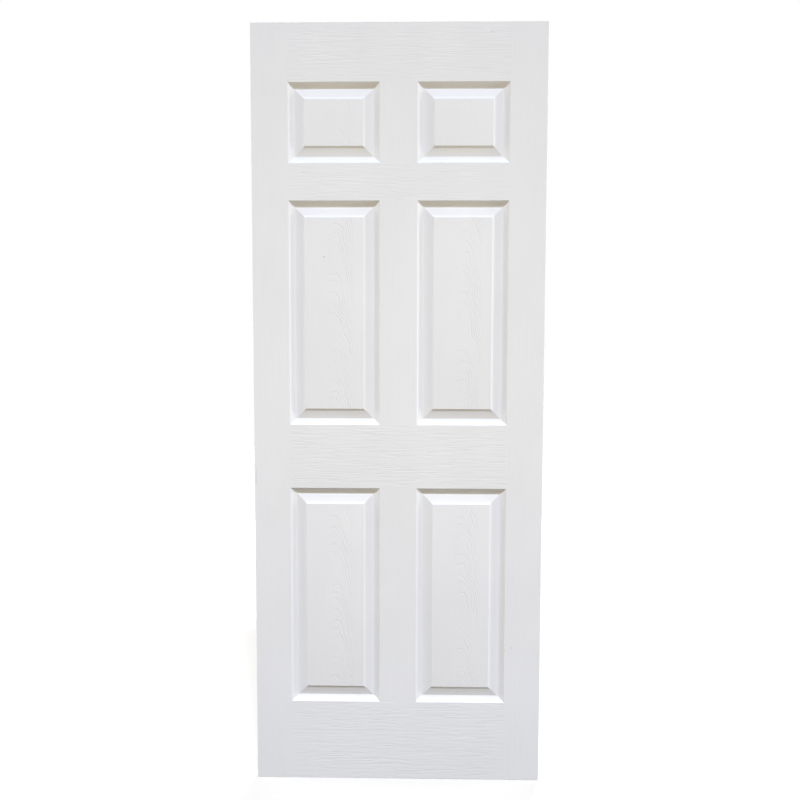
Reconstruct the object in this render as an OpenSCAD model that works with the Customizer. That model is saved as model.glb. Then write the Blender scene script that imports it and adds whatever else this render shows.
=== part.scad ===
// Six-panel hollow core door leaf, standing on its bottom edge.
// X runs across the door, Y through it and Z up. The front faces -Y.
// The origin is at the middle of the bottom edge.

/* [Leaf] */
// Width of the leaf
door_w = 800; // [700:1:900]
// Height of the leaf
door_h = 2100; // [1980:1:2200]
// Thickness over both skins
door_t = 35; // [34:0.5:45]

/* [Panel layout] */
// Face width of the skin beside the outer panels, on each side
stile_face_w = 100; // [85:1:120]
// Face width between the two columns of panels
mullion_face_w = 102; // [80:1:130]
// Face height above the top panels
top_face_h = 156; // [120:1:180]
// Height of the two small top panels, over their moulding
small_panel_h = 214; // [160:1:260]
// Face height between the top and the middle panels
frieze_face_h = 101; // [80:1:130]
// Face height between the middle and the bottom panels, at the lock
lock_face_h = 177; // [140:1:210]
// Face height below the bottom panels
bottom_face_h = 226; // [180:1:260]

/* [Moulded skin] */
// Wall thickness of each moulded skin
skin_t = 3.2; // [2.8:0.1:3.6]
// Chamfer along the outer edges of each skin
edge_ease = 0.6; // [0.2:0.1:1.5]
// Width of the cove from the face down to the groove
cove_w = 17.5; // [14:0.5:22]
// Depth of the groove below the face
groove_d = 10.5; // [9.5:0.5:11.5]
// Slope that the cove still has where it reaches the groove, in degrees
cove_end_angle = 12; // [5:1:18]
// Width of the flat bevel that climbs out of the groove
bevel_w = 19.5; // [15:0.5:24]
// Height that the flat bevel climbs
bevel_rise = 5; // [4:0.1:5.6]
// Width of the curved shoulder between the bevel and the raised field
shoulder_w = 8; // [6:0.5:10]
// Depth of the raised field below the face
field_drop = 1; // [0.4:0.1:1.5]

/* [Timber frame] */
// Width of the edge bars that run the full height
edge_bar_w = 30; // [25:1:40]
// Height of the bars at the top and the bottom
end_bar_h = 30; // [25:1:60]
// Height of the lock blocks
lock_block_h = 400; // [300:5:500]
// Height of the middle of the lock blocks above the bottom edge
lock_height = 1000; // [900:5:1100]
// Gap between a lock block and the edge of the panel moulding
lock_block_clear = 10; // [4:0.5:12]

/* [Honeycomb core] */
// Cells across the width of the core
cells_across = 8; // [6:1:10]
// Thickness of the paper walls between the cells
cell_wall = 1; // [0.8:0.1:1.6]
// Gap between the edge of the core and the timber around it
core_edge_gap = 1; // [0.5:0.1:3]
// Gap between the core and the back of the moulding
core_relief_gap = 0.5; // [0.3:0.1:1]

/* [Staples] */
// Staples across each corner joint, on each side
staples_per_joint = 2; // [1:1:3]
// Length of a staple's crown
staple_crown = 16; // [12:1:20]
// Length of a staple's legs
staple_leg = 12; // [8:0.5:13]
// Thickness of a staple's wire
staple_wire = 1.2; // [1:0.1:1.6]
// Clearance between a staple and its slot in the timber
staple_fit = 0.1; // [0.05:0.05:0.2]

/* [Hidden] */
$fn = 120;

primer_white = [0.91, 0.91, 0.91];
pale_pine = [0.84, 0.70, 0.50];
kraft_brown = [0.71, 0.56, 0.39];
staple_steel = [0.62, 0.63, 0.64];

half_w = door_w / 2;
half_t = door_t / 2;
frame_t = door_t - 2 * skin_t;

// Panel openings as low and high limits, across the door and up it
panel_w = (door_w - 2 * stile_face_w - mullion_face_w) / 2;
tall_panel_h = (door_h - top_face_h - small_panel_h - frieze_face_h - lock_face_h - bottom_face_h) / 2;
bottom_panel_z = bottom_face_h;
middle_panel_z = bottom_panel_z + tall_panel_h + lock_face_h;
top_panel_z = middle_panel_z + tall_panel_h + frieze_face_h;
columns = [
    [-mullion_face_w / 2 - panel_w, -mullion_face_w / 2],
    [mullion_face_w / 2, mullion_face_w / 2 + panel_w],
];
rows = [
    [bottom_panel_z, bottom_panel_z + tall_panel_h],
    [middle_panel_z, middle_panel_z + tall_panel_h],
    [top_panel_z, top_panel_z + small_panel_h],
];

// Moulding section. Distances run inwards from the edge of the opening, depths into the door from its face.
// The cove is an arc from the edge down to the groove, and its circle dips a little lower past the groove.
cove_half_turn = atan(groove_d / cove_w) - cove_end_angle;
cove_r = norm([cove_w, groove_d]) / (2 * sin(cove_half_turn));
cove_centre_u = cove_w + cove_r * sin(cove_end_angle);
cove_centre_d = groove_d - cove_r * cos(cove_end_angle);
cove_lowest_d = cove_centre_d + cove_r;
bevel_angle = atan(bevel_rise / bevel_w);
bevel_end_u = cove_w + bevel_w;
bevel_end_d = groove_d - bevel_rise;
moulding_w = bevel_end_u + shoulder_w;
// The shoulder is an arc that leaves the bevel a little steeper and ends at the field's edge.
shoulder_crease = 3;
shoulder_rise = bevel_end_d - field_drop;
shoulder_chord = norm([shoulder_w, shoulder_rise]);
shoulder_chord_angle = atan(shoulder_rise / shoulder_w);
shoulder_half_turn = shoulder_chord_angle - bevel_angle - shoulder_crease;
shoulder_r = shoulder_chord / (2 * sin(shoulder_half_turn));
shoulder_start_angle = bevel_angle + shoulder_crease;
shoulder_centre_u = bevel_end_u - shoulder_r * sin(shoulder_start_angle);
shoulder_centre_d = bevel_end_d - shoulder_r * cos(shoulder_start_angle);
field_block_u = bevel_end_u - shoulder_r * sin(shoulder_crease) * cos(bevel_angle);

// How far the back of the moulding reaches outside its opening, and where the back of the field starts
cove_back_reach = sqrt(pow(cove_r + skin_t, 2) - pow(skin_t - cove_centre_d, 2)) - cove_centre_u;
field_back_d = field_drop + skin_t;
field_back_below_centre = field_back_d - shoulder_centre_d;
field_back_u = shoulder_centre_u + sqrt(pow(shoulder_r + skin_t, 2) - pow(field_back_below_centre, 2));

// Room that the cutting profiles have beyond the faces they cut
spare = 5;

lock_block_w = stile_face_w - edge_bar_w - lock_block_clear;
core_w = door_w - 2 * (edge_bar_w + core_edge_gap);
core_h = door_h - 2 * (end_bar_h + core_edge_gap);
cell_pitch = (core_w - cell_wall) / cells_across;
cell_r = (cell_pitch - cell_wall) / sqrt(3);
cell_row_pitch = cell_pitch * sqrt(3) / 2;
cell_rows = 2 * ceil(core_h / cell_row_pitch / 2) + 1;

// A run of sections along the door's height, drawn across the door and into it
module along_height() {
    linear_extrude(height = door_h) children();
}

// A run of sections along the door's width, drawn up the door and into it
module along_width() {
    rotate([0, -90, 0]) linear_extrude(height = door_w, center = true) children();
}

// Section of the hollow inside one opening, deepened by a wall: side coves and a floor below the groove
module hollow_section(limits, wall) {
    floor_w = limits[1] - limits[0] - 2 * cove_centre_u;
    floor_d = (groove_d + cove_lowest_d) / 2 + wall;
    for (centre = [limits[0] + cove_centre_u, limits[1] - cove_centre_u]) {
        translate([centre, cove_centre_d]) circle(r = cove_r + wall);
    }
    translate([limits[0] + cove_centre_u, -spare]) square([floor_w, floor_d + spare]);
}

// Section of the raised panel inside one opening: flat bevels, curved shoulders and a flat field
module raised_section(limits, wall) {
    run_in_u = cove_w - spare;
    run_in_d = groove_d + spare * tan(bevel_angle) + wall / cos(bevel_angle);
    run_out_d = groove_d - (bevel_w + shoulder_w) * tan(bevel_angle) + wall / cos(bevel_angle);
    polygon([
        [limits[0] + run_in_u, run_in_d],
        [limits[0] + moulding_w, run_out_d],
        [limits[1] - moulding_w, run_out_d],
        [limits[1] - run_in_u, run_in_d],
        [limits[1] - run_in_u, door_t],
        [limits[0] + run_in_u, door_t],
    ]);
    difference() {
        translate([limits[0] + field_block_u, field_drop + wall])
            square([limits[1] - limits[0] - 2 * field_block_u, door_t - field_drop - wall]);
        for (centre = [limits[0] + shoulder_centre_u, limits[1] - shoulder_centre_u]) {
            translate([centre, shoulder_centre_d]) circle(r = shoulder_r + wall);
        }
    }
}

// The hollows of all the panels with mitred corners, from the face down to a surface one wall deeper
module panel_hollows(wall) {
    difference() {
        intersection() {
            along_height() for (limits = columns) hollow_section(limits, wall);
            along_width() for (limits = rows) hollow_section(limits, wall);
        }
        intersection() {
            along_height() for (limits = columns) raised_section(limits, wall);
            along_width() for (limits = rows) raised_section(limits, wall);
        }
    }
}

// Section of the flat sheet between two edges, with its front corners eased
module sheet_section(low, high) {
    polygon([
        [low, skin_t],
        [low, edge_ease],
        [low + edge_ease, 0],
        [high - edge_ease, 0],
        [high, edge_ease],
        [high, skin_t],
    ]);
}

// One skin with its face at Y = 0: a sheet of constant wall, pressed inwards round each raised panel
module moulded_skin() {
    difference() {
        union() {
            intersection() {
                along_height() sheet_section(-half_w, half_w);
                along_width() sheet_section(0, door_h);
            }
            intersection() {
                panel_hollows(skin_t);
                translate([-half_w, skin_t / 2, 0]) cube([door_w, half_t, door_h]);
            }
        }
        panel_hollows(0);
    }
}

module front_skin() {
    color(primer_white) translate([0, -half_t, 0]) moulded_skin();
}

module back_skin() {
    color(primer_white) mirror([0, 1, 0]) translate([0, -half_t, 0]) moulded_skin();
}

// One staple with its crown along X and flush with Y = 0, and its legs towards +Y
module staple(ease) {
    wire = staple_wire + 2 * ease;
    translate([-staple_crown / 2 - ease, -ease, -wire / 2]) cube([staple_crown + 2 * ease, wire, wire]);
    for (leg_x = [-staple_crown / 2 - ease, staple_crown / 2 + ease - wire]) {
        translate([leg_x, -ease, -wire / 2]) cube([wire, staple_leg + 2 * ease, wire]);
    }
}

// Every staple, across the four joints of the edge bars with the end bars, on both sides
module staple_set(ease) {
    for (joint_x = [edge_bar_w - half_w, half_w - edge_bar_w]) {
        for (bar_z = [0, door_h - end_bar_h]) {
            for (count = [1:staples_per_joint]) {
                staple_z = bar_z + end_bar_h * count / (staples_per_joint + 1);
                for (turn = [0, 180]) {
                    translate([joint_x, 0, staple_z]) rotate([0, 0, turn])
                        translate([0, -frame_t / 2, 0]) staple(ease);
                }
            }
        }
    }
}

// A timber bar of the frame with the slots that its staples sit in
module timber_bar(corner_x, corner_z, width, height) {
    color(pale_pine) difference() {
        translate([corner_x, -frame_t / 2, corner_z]) cube([width, frame_t, height]);
        staple_set(staple_fit);
    }
}

module hinge_stile() {
    timber_bar(-half_w, 0, edge_bar_w, door_h);
}

module latch_stile() {
    timber_bar(half_w - edge_bar_w, 0, edge_bar_w, door_h);
}

module top_rail() {
    timber_bar(edge_bar_w - half_w, door_h - end_bar_h, door_w - 2 * edge_bar_w, end_bar_h);
}

module bottom_rail() {
    timber_bar(edge_bar_w - half_w, 0, door_w - 2 * edge_bar_w, end_bar_h);
}

// A solid block against an edge bar, behind the flat part of the skin
module lock_block(corner_x) {
    translate([corner_x, -frame_t / 2, lock_height - lock_block_h / 2])
        cube([lock_block_w, frame_t, lock_block_h]);
}

module hinge_side_lock_block() {
    color(pale_pine) lock_block(edge_bar_w - half_w);
}

module latch_side_lock_block() {
    color(pale_pine) lock_block(half_w - edge_bar_w - lock_block_w);
}

// Rectangles seen from the front, one for each panel opening, grown outwards by a margin
module panel_rectangles(margin) {
    for (across = columns) {
        for (up = rows) {
            translate([across[0] - margin, up[0] - margin])
                square([across[1] - across[0] + 2 * margin, up[1] - up[0] + 2 * margin]);
        }
    }
}

// The room inside the timber, seen from the front
module core_outline() {
    difference() {
        translate([-core_w / 2, end_bar_h + core_edge_gap]) square([core_w, core_h]);
        for (side = [-1, 1]) {
            block_edge_x = half_w - edge_bar_w - lock_block_w - core_edge_gap;
            translate([side * (block_edge_x + half_w) / 2, lock_height])
                square([half_w - block_edge_x, lock_block_h + 2 * core_edge_gap], center = true);
        }
    }
}

// The paper walls seen from the front: the room inside the timber less its six-sided cells
module honeycomb_walls() {
    difference() {
        core_outline();
        for (row = [0:cell_rows - 1]) {
            row_z = door_h / 2 + (row - (cell_rows - 1) / 2) * cell_row_pitch;
            for (column = [0:cells_across - row % 2]) {
                cell_x = (column - (cells_across - row % 2) / 2) * cell_pitch;
                translate([cell_x, row_z]) rotate(30) circle(r = cell_r, $fn = 6);
            }
        }
    }
}

// The part of the core that lies inside an outline, at one thickness
module core_zone(thickness) {
    rotate([90, 0, 0]) linear_extrude(height = thickness, center = true) intersection() {
        honeycomb_walls();
        children();
    }
}

// The core is full thickness behind the flat faces and the fields, and pressed thin behind the moulding.
module honeycomb_core() {
    moulding_margin = cove_back_reach + core_relief_gap;
    field_margin = -field_back_u - core_relief_gap;
    color(kraft_brown) union() {
        core_zone(frame_t) difference() {
            core_outline();
            panel_rectangles(moulding_margin);
        }
        core_zone(door_t - 2 * (groove_d + skin_t + core_relief_gap)) difference() {
            panel_rectangles(moulding_margin);
            panel_rectangles(field_margin);
        }
        core_zone(door_t - 2 * field_back_d) panel_rectangles(field_margin);
    }
}

module corner_staples() {
    color(staple_steel) staple_set(0);
}

front_skin();
back_skin();
hinge_stile();
latch_stile();
top_rail();
bottom_rail();
hinge_side_lock_block();
latch_side_lock_block();
honeycomb_core();
corner_staples();
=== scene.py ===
import math

import bmesh
import bpy
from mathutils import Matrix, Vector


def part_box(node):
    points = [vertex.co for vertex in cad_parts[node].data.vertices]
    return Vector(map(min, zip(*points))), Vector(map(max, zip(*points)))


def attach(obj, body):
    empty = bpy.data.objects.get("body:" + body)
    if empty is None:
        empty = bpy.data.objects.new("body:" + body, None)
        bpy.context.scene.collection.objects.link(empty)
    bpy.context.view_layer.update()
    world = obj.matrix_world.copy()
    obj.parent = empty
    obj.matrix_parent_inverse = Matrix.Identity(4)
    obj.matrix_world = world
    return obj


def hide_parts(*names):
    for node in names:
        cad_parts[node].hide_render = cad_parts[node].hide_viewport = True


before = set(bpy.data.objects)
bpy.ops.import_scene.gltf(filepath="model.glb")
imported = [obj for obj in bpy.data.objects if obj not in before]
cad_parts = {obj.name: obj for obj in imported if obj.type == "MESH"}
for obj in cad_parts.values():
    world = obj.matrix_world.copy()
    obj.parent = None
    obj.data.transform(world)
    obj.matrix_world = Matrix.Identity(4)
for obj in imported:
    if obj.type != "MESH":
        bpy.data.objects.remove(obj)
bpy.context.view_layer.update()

# Leaf, taken from the front skin's own box
SKIN_LOW, SKIN_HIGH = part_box("front_skin")
LEAF_W = SKIN_HIGH.x - SKIN_LOW.x
LEAF_H = SKIN_HIGH.z - SKIN_LOW.z
FACE_Y = SKIN_LOW.y

# Panel layout in metres: widths of the plain faces beside, between, above and below the panels
STILE_FACE_W = 0.100
MULLION_FACE_W = 0.102
TOP_FACE_H = 0.156
SMALL_PANEL_H = 0.214
FRIEZE_FACE_H = 0.101
LOCK_FACE_H = 0.177
BOTTOM_FACE_H = 0.226
PANEL_W = (LEAF_W - 2 * STILE_FACE_W - MULLION_FACE_W) / 2
FACE_HEIGHTS = TOP_FACE_H + FRIEZE_FACE_H + LOCK_FACE_H + BOTTOM_FACE_H
TALL_PANEL_H = (LEAF_H - FACE_HEIGHTS - SMALL_PANEL_H) / 2
BOTTOM_PANEL_Z = BOTTOM_FACE_H
MIDDLE_PANEL_Z = BOTTOM_PANEL_Z + TALL_PANEL_H + LOCK_FACE_H
TOP_PANEL_Z = MIDDLE_PANEL_Z + TALL_PANEL_H + FRIEZE_FACE_H
COLUMNS = [
    (-MULLION_FACE_W / 2 - PANEL_W, -MULLION_FACE_W / 2),
    (MULLION_FACE_W / 2, MULLION_FACE_W / 2 + PANEL_W),
]
ROWS = [
    (BOTTOM_PANEL_Z, BOTTOM_PANEL_Z + TALL_PANEL_H),
    (MIDDLE_PANEL_Z, MIDDLE_PANEL_Z + TALL_PANEL_H),
    (TOP_PANEL_Z, TOP_PANEL_Z + SMALL_PANEL_H),
]

# Moulded skin: its wall, and the section of the moulding from the face inwards
SKIN_T = 0.0032
EDGE_EASE = 0.0006
EASE_STEPS = 2
COVE_W = 0.0175
GROOVE_D = 0.0105
COVE_END_SLOPE = math.radians(12)
BEVEL_W = 0.0195
BEVEL_RISE = 0.005
SHOULDER_W = 0.008
SHOULDER_CREASE = math.radians(3)
FIELD_DROP = 0.001
COVE_STEPS = 10
SHOULDER_STEPS = 6
ARRIS_R = 0.0009
ARRIS_STEPS = 5
SHARP_CORNER = math.radians(15)
SMOOTH_ANGLE = math.radians(10)
TOUCH = 0.00005
QUARTER_TURN = math.radians(90)


# The section of the moulding

def arc(start, slope_from, slope_to, radius, steps):
    """Points after the start of an arc that leaves at one slope and ends at another. Down is positive."""
    turn = math.copysign(radius, slope_to - slope_from)
    points = []
    for step in range(1, steps + 1):
        slope = slope_from + (slope_to - slope_from) * step / steps
        across = turn * (math.sin(slope) - math.sin(slope_from))
        down = turn * (math.cos(slope_from) - math.cos(slope))
        points.append((start[0] + across, start[1] + down))
    return points


def moulding_section():
    """Distance from the opening's edge and depth below the face: cove, groove, bevel, shoulder, field."""
    cove_chord_slope = math.atan2(GROOVE_D, COVE_W)
    cove_half_turn = cove_chord_slope - COVE_END_SLOPE
    cove_r = math.hypot(COVE_W, GROOVE_D) / (2 * math.sin(cove_half_turn))
    bevel_slope = math.atan2(BEVEL_RISE, BEVEL_W)
    bevel_end = (COVE_W + BEVEL_W, GROOVE_D - BEVEL_RISE)
    shoulder_rise = bevel_end[1] - FIELD_DROP
    shoulder_chord_slope = math.atan2(shoulder_rise, SHOULDER_W)
    shoulder_half_turn = shoulder_chord_slope - bevel_slope - SHOULDER_CREASE
    shoulder_r = math.hypot(SHOULDER_W, shoulder_rise) / (2 * math.sin(shoulder_half_turn))
    points = [(0.0, 0.0)]
    points += arc(points[-1], cove_chord_slope + cove_half_turn, COVE_END_SLOPE, cove_r, COVE_STEPS)
    points.append(bevel_end)
    shoulder_start = -(shoulder_chord_slope - shoulder_half_turn)
    shoulder_end = -(shoulder_chord_slope + shoulder_half_turn)
    points += arc(points[-1], shoulder_start, shoulder_end, shoulder_r, SHOULDER_STEPS)
    return points


def slopes_at(points, index):
    """Slopes of the section before and after one of its points. The face and the field are level."""
    before = 0.0
    after = 0.0
    across, down = points[index]
    if index > 0:
        last_across, last_down = points[index - 1]
        before = math.atan2(down - last_down, across - last_across)
    if index < len(points) - 1:
        next_across, next_down = points[index + 1]
        after = math.atan2(next_down - down, next_across - across)
    return before, after


def eased(points):
    """The section with each sharp corner rounded to the arris radius."""
    rounded = []
    for index, (across, down) in enumerate(points):
        before, after = slopes_at(points, index)
        if abs(after - before) < SHARP_CORNER:
            rounded.append((across, down))
            continue
        reach = ARRIS_R * math.tan(abs(after - before) / 2)
        start = (across - reach * math.cos(before), down - reach * math.sin(before))
        rounded.append(start)
        rounded += arc(start, before, after, ARRIS_R, ARRIS_STEPS)
    return rounded


def wall_side(points):
    """The section of the hidden side, parallel to the face at the wall's thickness."""
    shifted = []
    for index, (across, down) in enumerate(points):
        before, after = slopes_at(points, index)
        slope = (before + after) / 2
        reach = SKIN_T / math.cos((after - before) / 2)
        shifted.append((across - reach * math.sin(slope), down + reach * math.cos(slope)))
    return shifted


# Selecting in edit mode, by place

def nothing_selected():
    bpy.ops.object.select_all(action="DESELECT")


def pick_faces(piece, wanted):
    """Selects the faces whose middle passes the test, and no others."""
    bpy.ops.mesh.select_mode(type="FACE")
    bpy.ops.mesh.select_all(action="DESELECT")
    mesh = bmesh.from_edit_mesh(piece.data)
    for face in mesh.faces:
        face.select_set(wanted(face.calc_center_median()))
    mesh.select_flush_mode()
    bmesh.update_edit_mesh(piece.data)


def pick_edges(piece, wanted):
    """Selects the edges whose two ends both pass the test, and no others."""
    bpy.ops.mesh.select_mode(type="EDGE")
    bpy.ops.mesh.select_all(action="DESELECT")
    mesh = bmesh.from_edit_mesh(piece.data)
    for edge in mesh.edges:
        edge.select_set(wanted(edge.verts[0].co) and wanted(edge.verts[1].co))
    mesh.select_flush_mode()
    bmesh.update_edit_mesh(piece.data)


def give_finish(piece, index):
    """Assigns one of the piece's materials to the selected faces."""
    piece.active_material_index = index
    bpy.ops.object.material_slot_assign()


def between(value, limits):
    return limits[0] < value < limits[1]


def in_column(point):
    return any(between(point.x, column) for column in COLUMNS)


def in_row(point):
    return any(between(point.z, row) for row in ROWS)


def in_opening(point):
    return in_column(point) and in_row(point)


def on_rail(point):
    return abs(point.x) < LEAF_W / 2 - STILE_FACE_W and not in_row(point)


# Skins

STILE_FINISH, RAIL_FINISH, MOULDING_FINISH, FIELD_FINISH, BOARD_FINISH = range(5)


def press_sheet(name, face_y, section, finishes):
    """A flat sheet of the leaf's size, with its six openings pressed in ring by ring along the section."""
    nothing_selected()
    bpy.ops.mesh.primitive_plane_add(
        size=1, location=(0, face_y, LEAF_H / 2), rotation=(QUARTER_TURN, 0, 0)
    )
    sheet = bpy.context.active_object
    sheet.name = name
    sheet.scale = (LEAF_W, LEAF_H, 1)
    bpy.ops.object.transform_apply(location=True, rotation=True, scale=True)
    for finish in finishes:
        sheet.data.materials.append(finish)
    bpy.ops.object.mode_set(mode="EDIT")
    last_across, last_down = section[0]
    for low, high in COLUMNS:
        for x in (low + last_across, high - last_across):
            bpy.ops.mesh.select_all(action="SELECT")
            bpy.ops.mesh.bisect(plane_co=(x, 0, 0), plane_no=(1, 0, 0))
    for low, high in ROWS:
        for z in (low + last_across, high - last_across):
            bpy.ops.mesh.select_all(action="SELECT")
            bpy.ops.mesh.bisect(plane_co=(0, 0, z), plane_no=(0, 0, 1))
    pick_faces(sheet, on_rail)
    give_finish(sheet, RAIL_FINISH)
    pick_faces(sheet, in_opening)
    give_finish(sheet, MOULDING_FINISH)
    for across, down in section[1:]:
        bpy.ops.mesh.inset(
            thickness=across - last_across, depth=last_down - down,
            use_individual=True, use_even_offset=True,
        )
        last_across, last_down = across, down
    give_finish(sheet, FIELD_FINISH)
    bpy.ops.object.mode_set(mode="OBJECT")
    return sheet


def on_leaf_border(point):
    at_side = abs(abs(point.x) - LEAF_W / 2) < TOUCH
    at_end = point.z < TOUCH or point.z > LEAF_H - TOUCH
    return at_side or at_end


def on_front_border(point):
    return on_leaf_border(point) and abs(point.y - FACE_Y) < TOUCH


def moulded_skin(name, finishes):
    """One pressed skin: its face, its hidden side and the cut edge that joins them."""
    section = moulding_section()
    face = press_sheet(name, FACE_Y, eased(section), finishes)
    hidden = press_sheet(name + "_hidden", FACE_Y + SKIN_T, wall_side(section), finishes)
    bpy.ops.object.mode_set(mode="EDIT")
    bpy.ops.mesh.select_all(action="SELECT")
    give_finish(hidden, BOARD_FINISH)
    bpy.ops.mesh.flip_normals()
    bpy.ops.object.mode_set(mode="OBJECT")
    nothing_selected()
    hidden.select_set(True)
    face.select_set(True)
    bpy.context.view_layer.objects.active = face
    bpy.ops.object.join()
    bpy.ops.object.mode_set(mode="EDIT")
    pick_edges(face, on_leaf_border)
    bpy.ops.mesh.bridge_edge_loops()
    give_finish(face, BOARD_FINISH)
    pick_edges(face, on_front_border)
    bpy.ops.mesh.bevel(offset=EDGE_EASE, segments=EASE_STEPS, affect="EDGES", material=STILE_FINISH)
    bpy.ops.object.mode_set(mode="OBJECT")
    bpy.ops.object.shade_smooth_by_angle(angle=SMOOTH_ANGLE)
    return face


def turned_copy(piece, name):
    """A copy of a piece for the back of the door, turned half round about the upright axis."""
    nothing_selected()
    piece.select_set(True)
    bpy.context.view_layer.objects.active = piece
    bpy.ops.object.duplicate()
    copy = bpy.context.active_object
    copy.name = name
    copy.rotation_euler = (0, 0, 2 * QUARTER_TURN)
    bpy.ops.object.transform_apply(location=True, rotation=True, scale=True)
    return copy


# Finishes: small helpers for node trees

NOISE_MIDDLE = 0.5
NOISE_RANGE = (0.3, 0.7)


def start_finish(name):
    """A new material. Returns it with its tree and its shader."""
    material = bpy.data.materials.new(name)
    material.use_nodes = True
    tree = material.node_tree
    return material, tree, tree.nodes["Principled BSDF"]


def add_node(tree, kind, inputs, **options):
    """Adds a node, sets its options, and fills or links its inputs."""
    node = tree.nodes.new(kind)
    for option, value in options.items():
        setattr(node, option, value)
    for socket, value in inputs.items():
        if isinstance(value, bpy.types.NodeSocket):
            tree.links.new(value, node.inputs[socket])
        else:
            node.inputs[socket].default_value = value
    return node


def place_of(tree):
    """Place on the object, in metres."""
    return add_node(tree, "ShaderNodeTexCoord", {}).outputs["Object"]


def sums(tree, operation, *values):
    """One sum on numbers."""
    return add_node(tree, "ShaderNodeMath", dict(enumerate(values)), operation=operation).outputs[0]


def stretched(tree, place, scale, shift=(0, 0, 0)):
    """The place multiplied along each axis, so that a pattern is stretched the other way."""
    inputs = {"Vector": place, "Scale": scale, "Location": shift}
    return add_node(tree, "ShaderNodeMapping", inputs).outputs[0]


def noise(tree, place, detail=2.0, roughness=0.5):
    """Smooth noise from about 0.25 to 0.75, one lump to each unit of the place."""
    inputs = {"Vector": place, "Scale": 1.0, "Detail": detail, "Roughness": roughness}
    return add_node(tree, "ShaderNodeTexNoise", inputs).outputs[0]


def spread(tree, value, low, high, to_low=0.0, to_high=1.0):
    """A value taken smoothly from one range to another, and held at the ends."""
    inputs = {"Value": value, "From Min": low, "From Max": high, "To Min": to_low, "To Max": to_high}
    return add_node(tree, "ShaderNodeMapRange", inputs, interpolation_type="SMOOTHSTEP").outputs[0]


def tone_of(tree, number):
    """A value between 0 and 1 that is fixed for each whole number."""
    picked = add_node(tree, "ShaderNodeTexWhiteNoise", {"W": number}, noise_dimensions="1D")
    return picked.outputs["Value"]


def blend_colour(tree, amount, first, second):
    """First colour at 0, second at 1. The node's colours are its inputs 6 and 7 and its output 2."""
    inputs = {0: amount, 6: first, 7: second}
    return add_node(tree, "ShaderNodeMix", inputs, data_type="RGBA").outputs[2]


def axes_of(tree, place):
    return add_node(tree, "ShaderNodeSeparateXYZ", {0: place}).outputs


def joined_axes(tree, x, y, z):
    return add_node(tree, "ShaderNodeCombineXYZ", {0: x, 1: y, 2: z}).outputs[0]


def length_of(tree, vector):
    return add_node(tree, "ShaderNodeVectorMath", {0: vector}, operation="LENGTH").outputs["Value"]


def bumped(tree, height, depth):
    """A normal from a height between 0 and 1, and the depth in metres that it stands for."""
    inputs = {"Height": height, "Distance": depth, "Strength": 1.0}
    return add_node(tree, "ShaderNodeBump", inputs).outputs[0]


# White primer on the pressed grain

# Lumps of noise are counted to the metre along x, y and z. Depths, sways and wobbles are in metres
PRIMER_WHITE = (0.80, 0.808, 0.838, 1)
# The darker primer, towards which the random mottle and the painted shade in the grain's grooves go
PRIMER_SHADE = (0.745, 0.753, 0.786, 1)
PRIMER_ROUGHNESS = (0.40, 0.50)
PRIMER_GLOSS = 0.2
MOTTLE_LUMPS = (7.0, 7.0, 5.0)
MOTTLE_SHARE = 0.35
PEEL_LUMPS = (420.0, 420.0, 420.0)
PEEL_DEPTH = 0.00004
LINE_HALF_W = 0.06
FINE_RANGE = (0.35, 0.65)

# Grain across the rails
RAIL_GRAIN_DEPTH = 0.00017
# How much darker the primer is painted in the grain's grooves: painted shade
RAIL_GROOVE_PAINTED_SHADE = 0.2
RAIL_SWAY_LUMPS = (5.0, 60.0, 12.0)
RAIL_SWAY = 0.006
RAIL_LONG_LUMPS = (6.0, 60.0, 100.0)
RAIL_FINE_LUMPS = (14.0, 60.0, 230.0)
RAIL_FINE_SHARE = 0.55
RAIL_FADING_LUMPS = (8.0, 60.0, 40.0)
RAIL_FADING_RANGE = (0.35, 0.6)
RAIL_FAINTEST = 0.35

# Grain up the stiles and the mullion
STILE_GRAIN_DEPTH = 0.00008
# How much darker the primer is painted in the grain's grooves: painted shade
STILE_GROOVE_PAINTED_SHADE = 0.2
STILE_BROAD_LUMPS = (55.0, 60.0, 1.6)
STILE_BROAD_SHARE = 0.4
STILE_FINE_LUMPS = (190.0, 60.0, 6.0)
STILE_FINE_SHARE = 0.6
STILE_FADING_LUMPS = (9.0, 60.0, 3.0)
STILE_FAINTEST = 0.3

# Mouldings, nearly smooth
MOULDING_DEPTH = 0.00005
# How much darker the primer is painted in the faint hollows: painted shade
MOULDING_HOLLOW_PAINTED_SHADE = 0.1
MOULDING_LUMPS = (90.0, 60.0, 90.0)

# Arches of grain on the fields, in metres: a steep long side on the right and a short one on the left
FIELD_GRAIN_DEPTH = 0.00036
# How much darker the primer is painted in the arches' grooves: painted shade
FIELD_GROOVE_PAINTED_SHADE = 0.4
ARCH_OFF_MIDDLE = 0.010
ARCH_PITCH = 0.027
ARCH_LINE_AT = 0.5
ARCH_MEAN_FALL = 2.4
ARCH_LEAN = 1.6
ARCH_TOP_R = 0.009
ARCH_LINE_HALF_W = 0.0022
ARCH_BAND_LEFT = 0.022
ARCH_BAND_RIGHT = 0.042
ARCH_BAND_FADE = 0.012
ARCH_SMALL_PANEL_SHARE = 0.5
ARCH_SWAY_LUMPS = (5.0, 60.0, 7.0)
ARCH_SWAY = 0.06
ARCH_WOBBLE_LUMPS = (22.0, 60.0, 26.0)
ARCH_WOBBLE = 0.022
ARCH_UNEVEN_LUMPS = (3.0, 60.0, 22.0)
ARCH_UNEVEN = 1.5
ARCH_BUNDLE_LUMPS = (3.0, 60.0, 9.0)
ARCH_BUNDLE_RANGE = (0.38, 0.52)
ARCH_BUNDLE_FAINTEST = 0.15
ARCH_BREAK_LUMPS = (40.0, 60.0, 16.0)
ARCH_BREAK_RANGE = (0.30, 0.52)
ARCH_BREAK_FAINTEST = 0.1
FIELD_FINE_LUMPS = (150.0, 60.0, 5.0)
FIELD_FINE_SHARE = 0.15

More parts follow.
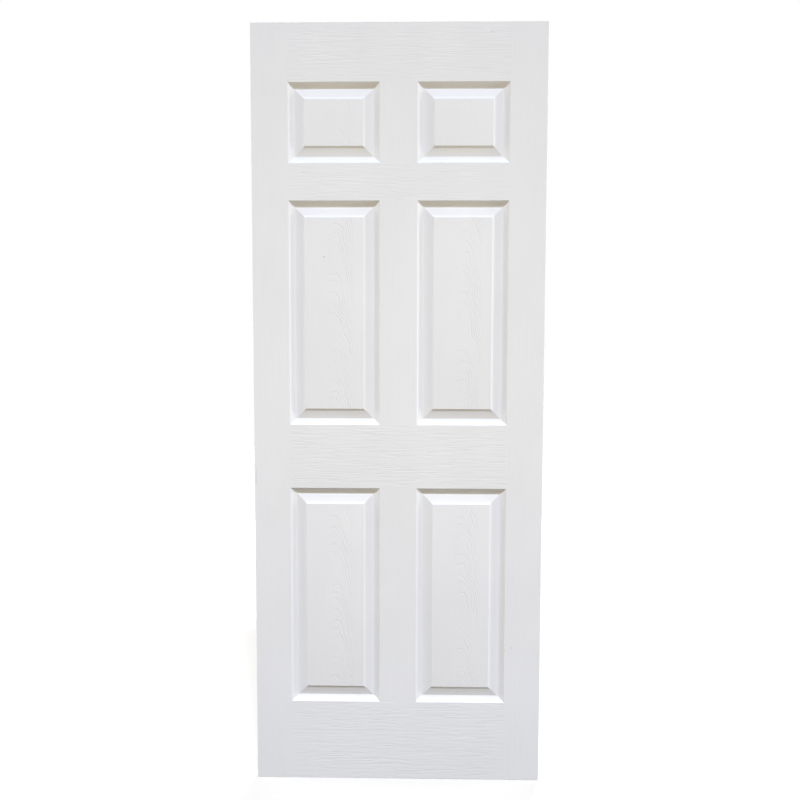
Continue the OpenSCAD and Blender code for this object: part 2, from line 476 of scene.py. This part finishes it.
# Marks that handling left on the front: middle, half size along x, y and z, and strength
MARK_BROWN = (0.22, 0.17, 0.13, 1)
MARK_FULL_TO = 0.7
MARK_REACH = 0.003
FIELD_MARKS = [((-0.2033, FACE_Y, 1.4775), (0.0021, MARK_REACH, 0.0020), 0.7)]
STILE_MARKS = [
    ((0.320, FACE_Y, 0.386), (0.0020, MARK_REACH, 0.0024), 0.36),
    ((-0.396, FACE_Y, 0.868), (0.0025, MARK_REACH, 0.030), 0.10),
    ((-0.399, FACE_Y, 0.620), (0.0016, MARK_REACH, 0.016), 0.20),
]
RAIL_MARKS = [((0.2487, FACE_Y, 2.0735), (0.0065, MARK_REACH, 0.0011), 0.27)]


def lines_where(tree, value, middle, half_width):
    """Thin lines where a smooth value crosses a level: 1 on the line and 0 beside it."""
    away = sums(tree, "ABSOLUTE", sums(tree, "SUBTRACT", value, middle))
    return spread(tree, away, 0.0, half_width, 1.0, 0.0)


def rail_grain(tree, place):
    """Long, slightly wavy lines that run across the door and come and go."""
    x, y, z = axes_of(tree, place)
    sway = sums(tree, "SUBTRACT", noise(tree, stretched(tree, place, RAIL_SWAY_LUMPS)), NOISE_MIDDLE)
    bent = joined_axes(tree, x, y, sums(tree, "MULTIPLY_ADD", sway, RAIL_SWAY, z))
    long_lines = noise(tree, stretched(tree, bent, RAIL_LONG_LUMPS), detail=1.5)
    fine_lines = noise(tree, stretched(tree, bent, RAIL_FINE_LUMPS))
    fading = noise(tree, stretched(tree, place, RAIL_FADING_LUMPS))
    fading = spread(tree, fading, *RAIL_FADING_RANGE, RAIL_FAINTEST, 1.0)
    drawn = sums(tree, "MULTIPLY", lines_where(tree, long_lines, NOISE_MIDDLE, LINE_HALF_W), fading)
    return sums(tree, "MULTIPLY_ADD", spread(tree, fine_lines, *FINE_RANGE), RAIL_FINE_SHARE, drawn)


def stile_grain(tree, place):
    """Fine straight lines that run up the door."""
    broad = noise(tree, stretched(tree, place, STILE_BROAD_LUMPS), detail=1.0)
    fine = noise(tree, stretched(tree, place, STILE_FINE_LUMPS))
    fading = noise(tree, stretched(tree, place, STILE_FADING_LUMPS))
    fading = spread(tree, fading, *FINE_RANGE, STILE_FAINTEST, 1.0)
    drawn = sums(tree, "MULTIPLY", lines_where(tree, broad, NOISE_MIDDLE, LINE_HALF_W), fading)
    drawn = sums(tree, "MULTIPLY", drawn, STILE_BROAD_SHARE)
    return sums(tree, "MULTIPLY_ADD", spread(tree, fine, *FINE_RANGE), STILE_FINE_SHARE, drawn)


def across_field(tree, x, y):
    """Which column of panels, -1 or 1, and the distance from its middle, both as seen from that face."""
    seen_x = sums(tree, "MULTIPLY", x, sums(tree, "MULTIPLY", sums(tree, "SIGN", y), -1.0))
    column = sums(tree, "SIGN", seen_x)
    panel_middle = (MULLION_FACE_W + PANEL_W) / 2
    return column, sums(tree, "SUBTRACT", seen_x, sums(tree, "MULTIPLY", column, panel_middle))


def swayed_across(tree, place, across):
    """The distance across a field, moved about so that the arches aren't regular."""
    sway = noise(tree, stretched(tree, place, ARCH_SWAY_LUMPS), detail=3.0, roughness=0.4)
    wobble = noise(tree, stretched(tree, place, ARCH_WOBBLE_LUMPS))
    swayed = sums(tree, "MULTIPLY_ADD", sums(tree, "SUBTRACT", sway, NOISE_MIDDLE), ARCH_SWAY, across)
    return sums(tree, "MULTIPLY_ADD", sums(tree, "SUBTRACT", wobble, NOISE_MIDDLE), ARCH_WOBBLE, swayed)


def arch_lines(tree, column, y, z, off_top):
    """Stacked arches: each falls away from its rounded top, steeply on the right and less on the left."""
    rounded = sums(tree, "SQRT", sums(tree, "MULTIPLY_ADD", off_top, off_top, ARCH_TOP_R ** 2))
    leaning = sums(tree, "MULTIPLY", off_top, ARCH_LEAN)
    level = sums(tree, "ADD", z, sums(tree, "MULTIPLY_ADD", rounded, ARCH_MEAN_FALL, leaning))
    side = sums(tree, "DIVIDE", off_top, rounded)
    steepness = sums(tree, "MULTIPLY_ADD", side, ARCH_MEAN_FALL, ARCH_LEAN)
    length = sums(tree, "SQRT", sums(tree, "MULTIPLY_ADD", steepness, steepness, 1.0))
    along_stack = joined_axes(tree, column, y, level)
    uneven = noise(tree, stretched(tree, along_stack, ARCH_UNEVEN_LUMPS), detail=1.0)
    counted = sums(tree, "MULTIPLY_ADD", uneven, ARCH_UNEVEN, sums(tree, "DIVIDE", level, ARCH_PITCH))
    off_line = sums(tree, "SUBTRACT", sums(tree, "FRACT", counted), ARCH_LINE_AT)
    off_line = sums(tree, "ABSOLUTE", off_line)
    half_width = sums(tree, "MULTIPLY", length, ARCH_LINE_HALF_W / ARCH_PITCH)
    arches = spread(tree, sums(tree, "DIVIDE", off_line, half_width), 0.0, 1.0, 1.0, 0.0)
    bundles = noise(tree, stretched(tree, along_stack, ARCH_BUNDLE_LUMPS), detail=1.0)
    bundles = spread(tree, bundles, *ARCH_BUNDLE_RANGE, ARCH_BUNDLE_FAINTEST, 1.0)
    return sums(tree, "MULTIPLY", arches, bundles)


def arch_band(tree, place, z, across):
    """How strongly the arches show: in a band along the field, broken, and fainter on small panels."""
    right = spread(tree, across, ARCH_BAND_RIGHT, ARCH_BAND_RIGHT + ARCH_BAND_FADE, 1.0, 0.0)
    left = spread(tree, across, -ARCH_BAND_LEFT, -ARCH_BAND_LEFT + ARCH_BAND_FADE, 0.0, 1.0)
    breaks = noise(tree, stretched(tree, place, ARCH_BREAK_LUMPS), detail=1.0)
    breaks = spread(tree, breaks, *ARCH_BREAK_RANGE, ARCH_BREAK_FAINTEST, 1.0)
    small = spread(tree, z, TOP_PANEL_Z - FRIEZE_FACE_H, TOP_PANEL_Z, 1.0, ARCH_SMALL_PANEL_SHARE)
    within = sums(tree, "MULTIPLY", left, right)
    return sums(tree, "MULTIPLY", within, sums(tree, "MULTIPLY", breaks, small))


def field_grain(tree, place):
    """Arches of grain stacked up a band of each field, and faint upright lines all over it."""
    x, y, z = axes_of(tree, place)
    column, across = across_field(tree, x, y)
    off_top = sums(tree, "SUBTRACT", swayed_across(tree, place, across), ARCH_OFF_MIDDLE)
    lines = arch_lines(tree, column, y, z, off_top)
    drawn = sums(tree, "MULTIPLY", arch_band(tree, place, z, across), lines)
    fine = noise(tree, stretched(tree, place, FIELD_FINE_LUMPS))
    return sums(tree, "MULTIPLY_ADD", spread(tree, fine, *FINE_RANGE), FIELD_FINE_SHARE, drawn)


def smooth_moulding(tree, place):
    """The mouldings are pressed smooth, with only the faintest unevenness."""
    return noise(tree, stretched(tree, place, MOULDING_LUMPS))


def mark(tree, place, middle, half_size):
    """1 on a small round or long mark on the front, and 0 away from it."""
    scale = tuple(1 / size for size in half_size)
    shift = tuple(-at / size for at, size in zip(middle, half_size))
    away = length_of(tree, stretched(tree, place, scale, shift))
    return spread(tree, away, MARK_FULL_TO, 1.0, 1.0, 0.0)


def primer(name, grain, depth, painted_shade_in_hollows, marks=()):
    """White primer over one kind of pressed grain, with the marks that handling left on it and painted
    shade in its grooves.
    """
    material, tree, shader = start_finish(name)
    place = place_of(tree)
    height = grain(tree, place)
    mottle = noise(tree, stretched(tree, place, MOTTLE_LUMPS), detail=3.0)
    mottle = spread(tree, mottle, *NOISE_RANGE)
    peel = noise(tree, stretched(tree, place, PEEL_LUMPS))
    # Painted shade: the primer goes darker where the grain's grooves and hollows lie, on top of its random
    # mottle
    painted_hollow_shade = sums(tree, "MULTIPLY", height, painted_shade_in_hollows)
    shade = sums(tree, "MULTIPLY_ADD", mottle, MOTTLE_SHARE, painted_hollow_shade)
    colour = blend_colour(tree, shade, PRIMER_WHITE, PRIMER_SHADE)
    for middle, half_size, strength in marks:
        amount = sums(tree, "MULTIPLY", mark(tree, place, middle, half_size), strength)
        colour = blend_colour(tree, amount, colour, MARK_BROWN)
    tree.links.new(colour, shader.inputs["Base Color"])
    tree.links.new(spread(tree, peel, *NOISE_RANGE, *PRIMER_ROUGHNESS), shader.inputs["Roughness"])
    groove = sums(tree, "MULTIPLY", height, -1.0)
    relief = sums(tree, "MULTIPLY_ADD", peel, PEEL_DEPTH / depth, groove)
    tree.links.new(bumped(tree, relief, depth), shader.inputs["Normal"])
    shader.inputs["Specular IOR Level"].default_value = PRIMER_GLOSS
    return material


# Brown board where the skins are cut and inside

BOARD_DARK = (0.20, 0.115, 0.06, 1)
BOARD_PALE = (0.36, 0.23, 0.13, 1)
BOARD_ROUGHNESS = (0.85, 0.7)
BOARD_FLECK_LUMPS = (260.0, 900.0, 260.0)
BOARD_FLECK_DEPTH = 0.0002


def raw_board():
    """Brown pressed fibreboard at the cut edges and the hidden side of the skins."""
    material, tree, shader = start_finish("raw_fibreboard")
    flecks = noise(tree, stretched(tree, place_of(tree), BOARD_FLECK_LUMPS), detail=4.0, roughness=0.6)
    colour = blend_colour(tree, spread(tree, flecks, *NOISE_RANGE), BOARD_DARK, BOARD_PALE)
    tree.links.new(colour, shader.inputs["Base Color"])
    tree.links.new(spread(tree, flecks, *NOISE_RANGE, *BOARD_ROUGHNESS), shader.inputs["Roughness"])
    tree.links.new(bumped(tree, flecks, BOARD_FLECK_DEPTH), shader.inputs["Normal"])
    return material


# Timber, paper and wire inside the skins

PINE_PALE = (0.72, 0.50, 0.27, 1)
PINE_WARM = (0.63, 0.42, 0.22, 1)
PINE_LATE_WOOD = (0.47, 0.26, 0.11, 1)
PINE_FIBRE = (0.50, 0.31, 0.15, 1)
PINE_SEAM = (0.30, 0.17, 0.08, 1)
PINE_ROUGHNESS = (0.55, 0.75)
PINE_GLOSS = 0.3
PINE_RELIEF = 0.0002
PINE_PIECE_L = 0.41
PINE_FIRST_CUT = 5.13
FINGER_HALF_PITCH = 0.0033
FINGER_START = 1.0
FINGER_STEEPNESS = 3.2
SEAM_HALF_SHARE = 0.0012
SEAM_STRENGTH = 0.7
PITH_NEAREST = 0.035
PITH_RANGE = 0.09
RINGS_TO_METRE = 260.0
RING_SLANT = 0.05
RING_WARP = 0.02
RING_WARP_LUMPS = 3.0
LATE_WOOD_RANGE = (0.35, 0.98)
LATE_WOOD_STRENGTH = 0.55
FIBRE_LUMPS_ALONG = 14.0
FIBRE_LUMPS_ACROSS = 900.0
FIBRE_RANGE = (0.4, 0.8)
FIBRE_STRENGTH = 0.35
FIBRE_HEIGHT = 0.6


def finger_joints(tree, length, y):
    """Number of the piece of timber along the bar, and 1 on the toothed seams between the pieces."""
    teeth = sums(tree, "PINGPONG", sums(tree, "ADD", y, FINGER_START), FINGER_HALF_PITCH)
    from_start = sums(tree, "ADD", length, PINE_FIRST_CUT)
    toothed = sums(tree, "MULTIPLY_ADD", teeth, FINGER_STEEPNESS, from_start)
    pieces = sums(tree, "DIVIDE", toothed, PINE_PIECE_L)
    seam = lines_where(tree, sums(tree, "FRACT", pieces), 0.0, SEAM_HALF_SHARE)
    return sums(tree, "FLOOR", pieces), seam


def year_rings(tree, length, width, y, tone):
    """Rings about a pith beside the bar, further off in some pieces: 0 in early wood, 1 in late wood."""
    warp_length = sums(tree, "MULTIPLY", length, RING_WARP_LUMPS)
    warp_place = joined_axes(tree, warp_length, y, sums(tree, "ADD", width, tone))
    slant = sums(tree, "MULTIPLY", length, RING_SLANT)
    warped = sums(tree, "MULTIPLY_ADD", noise(tree, warp_place), RING_WARP, slant)
    pith_w = sums(tree, "ADD", width, warped)
    pith_y = sums(tree, "ADD", y, sums(tree, "MULTIPLY_ADD", tone, PITH_RANGE, PITH_NEAREST))
    square = sums(tree, "MULTIPLY_ADD", pith_w, pith_w, sums(tree, "MULTIPLY", pith_y, pith_y))
    rings = sums(tree, "FRACT", sums(tree, "MULTIPLY", sums(tree, "SQRT", square), RINGS_TO_METRE))
    return spread(tree, rings, *LATE_WOOD_RANGE)


def pine(name, along_z):
    """Planed softwood in short lengths, finger-jointed end to end, with its grain along the bar."""
    material, tree, shader = start_finish(name)
    x, y, z = axes_of(tree, place_of(tree))
    length = z if along_z else x
    width = x if along_z else z
    piece, seam = finger_joints(tree, length, y)
    tone = tone_of(tree, piece)
    late_wood = year_rings(tree, length, width, y, tone)
    fibre_place = joined_axes(
        tree,
        sums(tree, "MULTIPLY", length, FIBRE_LUMPS_ALONG),
        sums(tree, "MULTIPLY", y, FIBRE_LUMPS_ACROSS),
        sums(tree, "MULTIPLY", width, FIBRE_LUMPS_ACROSS),
    )
    fibre = noise(tree, fibre_place, detail=3.0)
    ring_amount = sums(tree, "MULTIPLY", late_wood, LATE_WOOD_STRENGTH)
    fibre_amount = spread(tree, fibre, *FIBRE_RANGE, 0.0, FIBRE_STRENGTH)
    seam_amount = sums(tree, "MULTIPLY", seam, SEAM_STRENGTH)
    colour = blend_colour(tree, tone, PINE_PALE, PINE_WARM)
    colour = blend_colour(tree, ring_amount, colour, PINE_LATE_WOOD)
    colour = blend_colour(tree, fibre_amount, colour, PINE_FIBRE)
    colour = blend_colour(tree, seam_amount, colour, PINE_SEAM)
    tree.links.new(colour, shader.inputs["Base Color"])
    tree.links.new(spread(tree, fibre, *NOISE_RANGE, *PINE_ROUGHNESS), shader.inputs["Roughness"])
    relief = sums(tree, "MULTIPLY_ADD", fibre, FIBRE_HEIGHT, sums(tree, "MULTIPLY", seam, -1.0))
    tree.links.new(bumped(tree, relief, PINE_RELIEF), shader.inputs["Normal"])
    shader.inputs["Specular IOR Level"].default_value = PINE_GLOSS
    return material


PAPER_PALE = (0.52, 0.35, 0.19, 1)
PAPER_DARK = (0.38, 0.24, 0.12, 1)
PAPER_ROUGHNESS = (0.8, 0.95)
PAPER_FIBRE_LUMPS = (300.0, 300.0, 900.0)
PAPER_FIBRE_SHARE = 0.5
PAPER_CREASE_LUMPS = (60.0, 60.0, 60.0)
PAPER_CREASE_SHARE = 0.5
PAPER_RELIEF = 0.0003


def kraft_paper():
    """Brown paper of the honeycomb, with fibres and soft creases."""
    material, tree, shader = start_finish("kraft_paper")
    place = place_of(tree)
    fibres = noise(tree, stretched(tree, place, PAPER_FIBRE_LUMPS), detail=4.0, roughness=0.6)
    creases = noise(tree, stretched(tree, place, PAPER_CREASE_LUMPS))
    fibre_shade = sums(tree, "MULTIPLY", fibres, PAPER_FIBRE_SHARE)
    shade = sums(tree, "MULTIPLY_ADD", creases, PAPER_CREASE_SHARE, fibre_shade)
    colour = blend_colour(tree, spread(tree, shade, *NOISE_RANGE), PAPER_PALE, PAPER_DARK)
    tree.links.new(colour, shader.inputs["Base Color"])
    tree.links.new(spread(tree, fibres, *NOISE_RANGE, *PAPER_ROUGHNESS), shader.inputs["Roughness"])
    tree.links.new(bumped(tree, shade, PAPER_RELIEF), shader.inputs["Normal"])
    return material


ZINC_PALE = (0.66, 0.67, 0.68, 1)
ZINC_DARK = (0.52, 0.53, 0.54, 1)
ZINC_ROUGHNESS = (0.32, 0.5)
ZINC_STREAK_LUMPS = (900.0, 900.0, 300.0)


def galvanised_wire():
    """Dull zinc with faint drawing lines."""
    material, tree, shader = start_finish("galvanised_wire")
    streaks = noise(tree, stretched(tree, place_of(tree), ZINC_STREAK_LUMPS), detail=3.0)
    colour = blend_colour(tree, spread(tree, streaks, *NOISE_RANGE), ZINC_PALE, ZINC_DARK)
    tree.links.new(colour, shader.inputs["Base Color"])
    tree.links.new(spread(tree, streaks, *NOISE_RANGE, *ZINC_ROUGHNESS), shader.inputs["Roughness"])
    shader.inputs["Metallic"].default_value = 1.0
    return material


def finish_node(name, material):
    """Gives one of the inner pieces its finish and leaves its shape alone."""
    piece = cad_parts[name]
    if not piece.material_slots:
        piece.data.materials.append(material)
    for slot in piece.material_slots:
        slot.material = material


# Studio

CAMERA_PLACE = (0.0609, -2.6175, 1.3059)
CAMERA_TURN = (85.162, -0.115, 1.245)
CAMERA_LENS = 42.534
CAMERA_SENSOR = 36.0

# The floor glows less near the door, so that the shadow shows there
WHITE = (1, 1, 1, 1)
FLOOR_SIZE = 14.0
FLOOR_LIT = (0.31, 0.30, 0.285, 1)
FLOOR_BOUNCE = (0.02, 0.02, 0.04, 1)
FLOOR_GLOW_NEAR = 0.54
FLOOR_GLOW_FAR = 0.70
FLOOR_GLOW_REACH = (1.6, 2.8)
SKY_COLOUR = (0.004, 0.005, 0.006, 1)

# High key light on each face
KEY_ELEVATION = math.radians(57)
KEY_AZIMUTH = math.radians(14)
KEY_DISTANCE = 2.0
KEY_HEIGHT = 4.0
KEY_SIZE = math.radians(5)
KEY_STRENGTH = 2.86
KEY_COLOUR = (0.915, 1.015, 1.24)
BACK_KEY_SHARE = 0.75

# Broad fill light straight before each face
FILL_DISTANCE = 3.6
FILL_HEIGHT = 1.35
FILL_W = 1.5
FILL_H = 2.4
FILL_STRENGTH = 57.0
FILL_COLOUR = (1.125, 0.975, 0.63)
BACK_FILL_SHARE = 1.3
BACK_FILL_COLOUR = (1.093, 0.986, 0.786)

# Narrow lights at both sides of each face, one stronger than the other
SIDE_DISTANCE = 2.8
SIDE_AZIMUTH = math.radians(84)
SIDE_HEIGHT = 1.4
SIDE_W = 0.4
SIDE_H = 1.6
SIDE_STRENGTH_LIT = 30.0
SIDE_STRENGTH_DIM = 22.0
SIDE_COLOUR = (1.03, 1.0, 0.85)


def camera():
    """A camera at the height and turn from which the whole front is seen nearly straight on."""
    nothing_selected()
    turn = [math.radians(angle) for angle in CAMERA_TURN]
    bpy.ops.object.camera_add(location=CAMERA_PLACE, rotation=turn)
    seen_from = bpy.context.active_object
    seen_from.data.sensor_width = CAMERA_SENSOR
    seen_from.data.lens = CAMERA_LENS
    bpy.context.scene.camera = seen_from


def seen_directly(tree):
    """1 for rays that the eye sees, straight or reflected, and 0 for rays that only light the door."""
    rays = add_node(tree, "ShaderNodeLightPath", {}).outputs
    seen = sums(tree, "MAXIMUM", rays["Is Camera Ray"], rays["Is Glossy Ray"])
    return sums(tree, "MAXIMUM", seen, rays["Is Transmission Ray"])


def floor():
    """A white floor that keeps the door's soft shadow and throws little light back up."""
    nothing_selected()
    bpy.ops.mesh.primitive_plane_add(size=FLOOR_SIZE)
    ground = bpy.context.active_object
    ground.name = "studio_floor"
    material, tree, shader = start_finish("studio_floor_finish")
    tree.nodes.remove(shader)
    away = length_of(tree, place_of(tree))
    glow = spread(tree, away, *FLOOR_GLOW_REACH, FLOOR_GLOW_NEAR, FLOOR_GLOW_FAR)
    glowing = add_node(tree, "ShaderNodeEmission", {"Color": WHITE, "Strength": glow}).outputs[0]
    lit = add_node(tree, "ShaderNodeBsdfDiffuse", {"Color": FLOOR_LIT}).outputs[0]
    pale = add_node(tree, "ShaderNodeAddShader", {0: glowing, 1: lit}).outputs[0]
    bounce = add_node(tree, "ShaderNodeBsdfDiffuse", {"Color": FLOOR_BOUNCE}).outputs[0]
    choice = {0: seen_directly(tree), 1: bounce, 2: pale}
    mixed = add_node(tree, "ShaderNodeMixShader", choice).outputs[0]
    tree.links.new(mixed, tree.nodes["Material Output"].inputs["Surface"])
    ground.data.materials.append(material)


def studio_world():
    """A white surround to look at, which throws hardly any light on the door."""
    world = bpy.data.worlds.new("studio")
    world.use_nodes = True
    bpy.context.scene.world = world
    tree = world.node_tree
    colour = blend_colour(tree, seen_directly(tree), SKY_COLOUR, WHITE)
    tree.links.new(colour, tree.nodes["Background"].inputs["Color"])
    tree.nodes["Background"].inputs["Strength"].default_value = 1.0


def key_light(side, strength):
    """A small distant light, high in front of the door for side -1 and high behind it for side 1."""
    nothing_selected()
    bpy.ops.object.light_add(type="SUN", location=(0, side * KEY_DISTANCE, KEY_HEIGHT))
    key = bpy.context.active_object
    key.rotation_euler = (side * (KEY_ELEVATION - QUARTER_TURN), 0, -side * KEY_AZIMUTH)
    key.data.energy = strength
    key.data.angle = KEY_SIZE
    key.data.color = KEY_COLOUR
    key.visible_glossy = False


def fill_light(place, width, height, strength, colour):
    """An upright panel of soft light that faces the middle line of the door."""
    nothing_selected()
    bpy.ops.object.light_add(type="AREA", location=place)
    fill = bpy.context.active_object
    fill.rotation_euler = (QUARTER_TURN, 0, math.atan2(place[1], place[0]) + QUARTER_TURN)
    fill.data.shape = "RECTANGLE"
    fill.data.size = width
    fill.data.size_y = height
    fill.data.energy = strength
    fill.data.color = colour
    fill.visible_camera = False


# The door

bpy.context.scene.view_settings.view_transform = "Standard"
camera()

skin_finishes = [
    primer("primer_on_upright_grain", stile_grain, STILE_GRAIN_DEPTH, STILE_GROOVE_PAINTED_SHADE, STILE_MARKS),
    primer("primer_on_cross_grain", rail_grain, RAIL_GRAIN_DEPTH, RAIL_GROOVE_PAINTED_SHADE, RAIL_MARKS),
    primer("primer_on_moulding", smooth_moulding, MOULDING_DEPTH, MOULDING_HOLLOW_PAINTED_SHADE),
    primer("primer_on_arched_grain", field_grain, FIELD_GRAIN_DEPTH, FIELD_GROOVE_PAINTED_SHADE, FIELD_MARKS),
    raw_board(),
]
front_skin = moulded_skin("front_skin_pressed", skin_finishes)
back_skin = turned_copy(front_skin, "back_skin_pressed")
for skin, node in ((front_skin, "front_skin"), (back_skin, "back_skin")):
    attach(skin, "root")
    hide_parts(node)

upright_pine = pine("pine_upright", along_z=True)
level_pine = pine("pine_level", along_z=False)
for node in ("hinge_stile", "latch_stile", "hinge_side_lock_block", "latch_side_lock_block"):
    finish_node(node, upright_pine)
for node in ("top_rail", "bottom_rail"):
    finish_node(node, level_pine)
finish_node("honeycomb_core", kraft_paper())
finish_node("corner_staples", galvanised_wire())

floor()
studio_world()
for side, key_share, fill_share, fill_colour in (
    (-1, 1.0, 1.0, FILL_COLOUR),
    (1, BACK_KEY_SHARE, BACK_FILL_SHARE, BACK_FILL_COLOUR),
):
    key_light(side, KEY_STRENGTH * key_share)
    facing_place = (0, side * FILL_DISTANCE, FILL_HEIGHT)
    fill_light(facing_place, FILL_W, FILL_H, FILL_STRENGTH * fill_share, fill_colour)
    for hand, strength in ((1, SIDE_STRENGTH_LIT), (-1, SIDE_STRENGTH_DIM)):
        across = -side * hand * SIDE_DISTANCE * math.sin(SIDE_AZIMUTH)
        along = side * SIDE_DISTANCE * math.cos(SIDE_AZIMUTH)
        fill_light((across, along, SIDE_HEIGHT), SIDE_W, SIDE_H, strength, SIDE_COLOUR)
